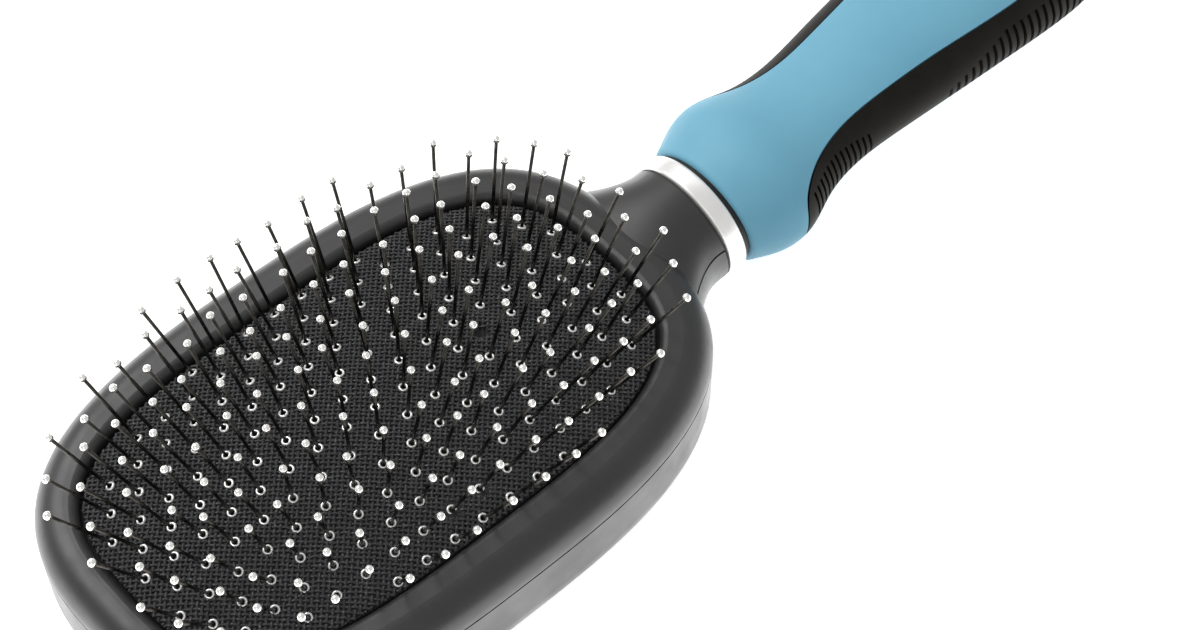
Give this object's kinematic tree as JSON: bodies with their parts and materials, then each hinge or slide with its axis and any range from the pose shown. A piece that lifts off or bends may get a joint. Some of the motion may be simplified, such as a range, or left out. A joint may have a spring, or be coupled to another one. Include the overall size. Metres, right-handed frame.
{
  "type": "cushioned pin brush",
  "caption": "Hand-held pet pin brush: ball-tipped wire pins in a fabric-faced cushion, black oval head, silver neck ring and contoured two-tone handle.",
  "frame": {"origin": "under the middle of the cushion, on the flat back that the head rests on", "axes": "+X along the handle, +Z out of the back towards the pin tips, +Y to the left"},
  "size_m": [0.2403, 0.0776, 0.0377],
  "materials": {
    "satin_black_plastic": "satin, fine moulded texture",
    "black_handle_plastic": "satin",
    "satin_silver": "satin metallised",
    "blue_soft_touch": "matte soft touch",
    "black_grip_rubber": "matte",
    "foam": "open cell foam",
    "membrane_rubber": "matte",
    "woven_fabric": "open black weave",
    "pin_wire": "dark polished wire",
    "pin_collar": "polished",
    "pin_tip": "polished"
  },
  "bodies": {
    "root": {"front_frame": "satin_black_plastic", "back_shell": "satin_black_plastic", "neck_ring": "satin_silver", "handle_core": "black_handle_plastic", "blue_sleeve": "blue_soft_touch", "side_grip_left": "black_grip_rubber", "side_grip_right": "black_grip_rubber", "cushion_foam": "foam"},
    "pin_bed": {"cushion_membrane": "membrane_rubber", "cushion_fabric": "woven_fabric"},
    "row_01": {"pin_row_01": "pin_wire", "pin_collars_01": "pin_collar", "pin_tips_01": "pin_tip"},
    "row_02": {"pin_row_02": "pin_wire", "pin_collars_02": "pin_collar", "pin_tips_02": "pin_tip"},
    "row_03": {"pin_row_03": "pin_wire", "pin_collars_03": "pin_collar", "pin_tips_03": "pin_tip"},
    "row_04": {"pin_row_04": "pin_wire", "pin_collars_04": "pin_collar", "pin_tips_04": "pin_tip"},
    "row_05": {"pin_row_05": "pin_wire", "pin_collars_05": "pin_collar", "pin_tips_05": "pin_tip"},
    "row_06": {"pin_row_06": "pin_wire", "pin_collars_06": "pin_collar", "pin_tips_06": "pin_tip"},
    "row_07": {"pin_row_07": "pin_wire", "pin_collars_07": "pin_collar", "pin_tips_07": "pin_tip"},
    "row_08": {"pin_row_08": "pin_wire", "pin_collars_08": "pin_collar", "pin_tips_08": "pin_tip"},
    "row_09": {"pin_row_09": "pin_wire", "pin_collars_09": "pin_collar", "pin_tips_09": "pin_tip"},
    "row_10": {"pin_row_10": "pin_wire", "pin_collars_10": "pin_collar", "pin_tips_10": "pin_tip"},
    "row_11": {"pin_row_11": "pin_wire", "pin_collars_11": "pin_collar", "pin_tips_11": "pin_tip"},
    "row_12": {"pin_row_12": "pin_wire", "pin_collars_12": "pin_collar", "pin_tips_12": "pin_tip"},
    "row_13": {"pin_row_13": "pin_wire", "pin_collars_13": "pin_collar", "pin_tips_13": "pin_tip"}
  },
  "joints": [
    {"name": "cushion_press", "type": "slide", "parent": "root", "child": "pin_bed", "axis": [0, 0, 1], "range_m": [-0.0015, 0], "stiffness_N_per_m": 4000, "deforming": ["cushion_foam"]},
    {"name": "row_01_tilt", "type": "hinge", "parent": "pin_bed", "child": "row_01", "pos_m": [0, -0.0258, 0.0187], "axis": [1, 0, 0], "range_deg": [-6, 6], "stiffness_Nm_per_rad": 0.05},
    {"name": "row_02_tilt", "type": "hinge", "parent": "pin_bed", "child": "row_02", "pos_m": [0, -0.0215, 0.0187], "axis": [1, 0, 0], "range_deg": [-6, 6], "stiffness_Nm_per_rad": 0.05},
    {"name": "row_03_tilt", "type": "hinge", "parent": "pin_bed", "child": "row_03", "pos_m": [0, -0.0172, 0.0187], "axis": [1, 0, 0], "range_deg": [-6, 6], "stiffness_Nm_per_rad": 0.05},
    {"name": "row_04_tilt", "type": "hinge", "parent": "pin_bed", "child": "row_04", "pos_m": [0, -0.0129, 0.0187], "axis": [1, 0, 0], "range_deg": [-6, 6], "stiffness_Nm_per_rad": 0.05},
    {"name": "row_05_tilt", "type": "hinge", "parent": "pin_bed", "child": "row_05", "pos_m": [0, -0.0086, 0.0187], "axis": [1, 0, 0], "range_deg": [-6, 6], "stiffness_Nm_per_rad": 0.05},
    {"name": "row_06_tilt", "type": "hinge", "parent": "pin_bed", "child": "row_06", "pos_m": [0, -0.0043, 0.0187], "axis": [1, 0, 0], "range_deg": [-6, 6], "stiffness_Nm_per_rad": 0.05},
    {"name": "row_07_tilt", "type": "hinge", "parent": "pin_bed", "child": "row_07", "pos_m": [0, 0, 0.0187], "axis": [1, 0, 0], "range_deg": [-6, 6], "stiffness_Nm_per_rad": 0.05},
    {"name": "row_08_tilt", "type": "hinge", "parent": "pin_bed", "child": "row_08", "pos_m": [0, 0.0043, 0.0187], "axis": [1, 0, 0], "range_deg": [-6, 6], "stiffness_Nm_per_rad": 0.05},
    {"name": "row_09_tilt", "type": "hinge", "parent": "pin_bed", "child": "row_09", "pos_m": [0, 0.0086, 0.0187], "axis": [1, 0, 0], "range_deg": [-6, 6], "stiffness_Nm_per_rad": 0.05},
    {"name": "row_10_tilt", "type": "hinge", "parent": "pin_bed", "child": "row_10", "pos_m": [0, 0.0129, 0.0187], "axis": [1, 0, 0], "range_deg": [-6, 6], "stiffness_Nm_per_rad": 0.05},
    {"name": "row_11_tilt", "type": "hinge", "parent": "pin_bed", "child": "row_11", "pos_m": [0, 0.0172, 0.0187], "axis": [1, 0, 0], "range_deg": [-6, 6], "stiffness_Nm_per_rad": 0.05},
    {"name": "row_12_tilt", "type": "hinge", "parent": "pin_bed", "child": "row_12", "pos_m": [0, 0.0215, 0.0187], "axis": [1, 0, 0], "range_deg": [-6, 6], "stiffness_Nm_per_rad": 0.05},
    {"name": "row_13_tilt", "type": "hinge", "parent": "pin_bed", "child": "row_13", "pos_m": [0, 0.0258, 0.0187], "axis": [1, 0, 0], "range_deg": [-6, 6], "stiffness_Nm_per_rad": 0.05}
  ]
}
